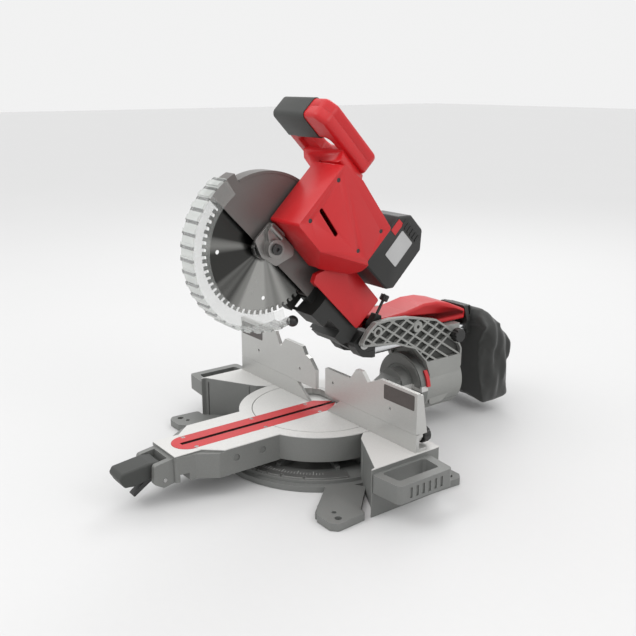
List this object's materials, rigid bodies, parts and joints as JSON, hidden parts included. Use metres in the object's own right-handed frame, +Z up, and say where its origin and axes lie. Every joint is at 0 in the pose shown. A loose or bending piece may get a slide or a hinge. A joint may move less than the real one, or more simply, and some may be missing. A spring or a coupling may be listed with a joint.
{
  "type": "sliding miter saw",
  "caption": "Cordless sliding compound miter saw: turning table, tilting arm with twin rails, hinged motor head with guarded blade, sliding fences and dust bag.",
  "frame": {"origin": "on the bench, under the centre of the turntable's pivot", "axes": "+X to the operator's right, +Y away from the operator, +Z up"},
  "size_m": [0.704, 0.9299, 0.6921],
  "materials": {
    "base_paint": "fine textured paint",
    "arm_paint": "fine textured paint",
    "dark_paint": "satin",
    "table_metal": "machined and blasted",
    "fence_metal": "machined",
    "zinc_steel": "zinc plated",
    "dark_steel": "black oxide",
    "rail_chrome": "polished",
    "blade_steel": "radially ground",
    "scale_metal": "satin",
    "red_plastic": "satin moulded",
    "red_plate": "matt moulded",
    "black_plastic": "fine moulded grain",
    "soft_grip": "matt",
    "clear_plastic": "clear moulded",
    "bag_fabric": "woven",
    "motor_iron": "laminated"
  },
  "bodies": {
    "base": {"base_casting": "base_paint", "miter_scale": "scale_metal", "lower_fence": "fence_metal", "fence_screws": "zinc_steel", "table_bolt": "dark_steel"},
    "fence_left": {"fence_left": "fence_metal"},
    "fence_right": {"fence_right": "fence_metal"},
    "fence_knob_left": {"fence_knob_left": "black_plastic"},
    "fence_knob_right": {"fence_knob_right": "black_plastic"},
    "turntable": {"turntable": "table_metal", "kerf_plates": "red_plate", "kerf_screws": "zinc_steel", "miter_grip": "soft_grip", "detent_pin": "zinc_steel", "miter_pointer": "red_plate", "bevel_scale": "scale_metal", "bevel_bolt": "zinc_steel"},
    "detent_lever": {"detent_lever": "dark_steel"},
    "bevel_arm": {"bevel_arm": "arm_paint", "slide_bearings": "dark_steel", "bevel_pointer": "red_plate"},
    "bevel_lock_lever": {"bevel_lock_lever": "black_plastic"},
    "slide_lock_knob": {"slide_lock_knob": "black_plastic"},
    "carriage": {"slide_rails": "rail_chrome", "yoke": "dark_paint", "pivot_pin": "zinc_steel", "rear_cap": "dark_paint", "duct_cover": "red_plastic", "duct_collar": "black_plastic", "dust_bag": "bag_fabric"},
    "depth_stop_screw": {"depth_stop_screw": "black_plastic"},
    "head": {"head_arm": "dark_paint", "head_cover": "red_plastic", "motor_housing": "red_plastic", "head_screws": "dark_steel", "handle_lower": "red_plastic", "handle_upper": "red_plastic", "grip_sleeve": "soft_grip", "upper_guard": "dark_paint", "guard_bracket": "arm_paint", "battery_mount": "black_plastic", "head_bearings": "zinc_steel", "belt_cover": "black_plastic", "motor_stator": "motor_iron", "drive_belt": "soft_grip"},
    "trigger": {"trigger": "black_plastic"},
    "lock_off_button": {"lock_off_button": "black_plastic"},
    "lower_guard": {"lower_guard": "clear_plastic", "guard_knob": "black_plastic"},
    "battery": {"battery_pack": "black_plastic"},
    "battery_latch_left": {"battery_latch_left": "red_plate"},
    "battery_latch_right": {"battery_latch_right": "red_plate"},
    "arbor": {"arbor": "zinc_steel", "blade": "blade_steel", "blade_flanges": "zinc_steel", "blade_bolt": "dark_steel", "pulley_large": "zinc_steel"},
    "rotor": {"motor_rotor": "motor_iron", "motor_fan": "black_plastic", "pulley_small": "zinc_steel"}
  },
  "joints": [
    {"name": "fence_left_slide", "type": "slide", "parent": "base", "child": "fence_left", "axis": [1, 0, 0], "range_m": [-0.165, 0]},
    {"name": "fence_right_slide", "type": "slide", "parent": "base", "child": "fence_right", "axis": [1, 0, 0], "range_m": [0, 0.165]},
    {"name": "fence_knob_left_turn", "type": "hinge", "parent": "base", "child": "fence_knob_left", "pos_m": [-0.262, 0.038, 0.109], "axis": [0, 1, 0], "range_deg": [0, 180]},
    {"name": "fence_knob_right_turn", "type": "hinge", "parent": "base", "child": "fence_knob_right", "pos_m": [0.262, 0.038, 0.109], "axis": [0, 1, 0], "range_deg": [0, 180]},
    {"name": "miter_turn", "type": "hinge", "parent": "base", "child": "turntable", "pos_m": [0, 0, 0.04], "axis": [0, 0, 1], "range_deg": [-50, 50]},
    {"name": "detent_lift", "type": "hinge", "parent": "turntable", "child": "detent_lever", "pos_m": [0, -0.362, 0.047], "axis": [-1, 0, 0], "range_deg": [0, 10], "stiffness_Nm_per_rad": 1, "springref_deg": -17.19},
    {"name": "bevel_tilt", "type": "hinge", "parent": "turntable", "child": "bevel_arm", "pos_m": [0, 0.241, 0.089], "axis": [0, 1, 0], "range_deg": [-45, 45]},
    {"name": "bevel_lock_turn", "type": "hinge", "parent": "bevel_arm", "child": "bevel_lock_lever", "pos_m": [0, 0.35, 0.089], "axis": [0, 1, 0], "range_deg": [-35, 35]},
    {"name": "slide_lock_turn", "type": "hinge", "parent": "bevel_arm", "child": "slide_lock_knob", "pos_m": [0.063, 0.322, 0.197], "axis": [1, 0, 0], "range_deg": [0, 180]},
    {"name": "carriage_slide", "type": "slide", "parent": "bevel_arm", "child": "carriage", "axis": [0, 1, 0], "range_m": [-0.026, 0.187]},
    {"name": "depth_stop_travel", "type": "slide", "parent": "carriage", "child": "depth_stop_screw", "axis": [0, 0.5299, 0.848], "range_m": [-0.008, 0.008]},
    {"name": "head_chop", "type": "hinge", "parent": "carriage", "child": "head", "pos_m": [0, 0.082, 0.215], "axis": [1, 0, 0], "range_deg": [0, 46.8], "stiffness_Nm_per_rad": 15, "springref_deg": -114.59},
    {"name": "trigger_pull", "type": "slide", "parent": "head", "child": "trigger", "axis": [0, -0.6972, 0.7169], "range_m": [0, 0.006], "stiffness_N_per_m": 400, "springref_m": -0.004},
    {"name": "lock_off_press", "type": "slide", "parent": "head", "child": "lock_off_button", "axis": [0, -0.7169, -0.6972], "range_m": [0, 0.003], "stiffness_N_per_m": 500, "springref_m": -0.003},
    {"name": "guard_swing", "type": "hinge", "parent": "head", "child": "lower_guard", "pos_m": [0, -0.12603, 0.42893], "axis": [-1, 0, 0], "range_deg": [0, 121.7]},
    {"name": "battery_slide", "type": "slide", "parent": "head", "child": "battery", "axis": [0, 0.7169, 0.6972], "range_m": [0, 0.055]},
    {"name": "battery_latch_left_press", "type": "slide", "parent": "battery", "child": "battery_latch_left", "axis": [1, 0, 0], "range_m": [0, 0.0025], "stiffness_N_per_m": 600, "springref_m": -0.002},
    {"name": "battery_latch_right_press", "type": "slide", "parent": "battery", "child": "battery_latch_right", "axis": [-1, 0, 0], "range_m": [0, 0.0025], "stiffness_N_per_m": 600, "springref_m": -0.002},
    {"name": "arbor_spin", "type": "hinge", "parent": "head", "child": "arbor", "pos_m": [0, -0.12603, 0.42893], "axis": [1, 0, 0], "continuous": true},
    {"name": "rotor_spin", "type": "hinge", "parent": "head", "child": "rotor", "pos_m": [0, 0.03672, 0.46668], "axis": [1, 0, 0], "continuous": true}
  ],
  "couplings": [
    {"joint": "guard_swing", "follows": "head_chop", "ratio": 2.6},
    {"joint": "rotor_spin", "follows": "arbor_spin", "ratio": 2.1818}
  ]
}
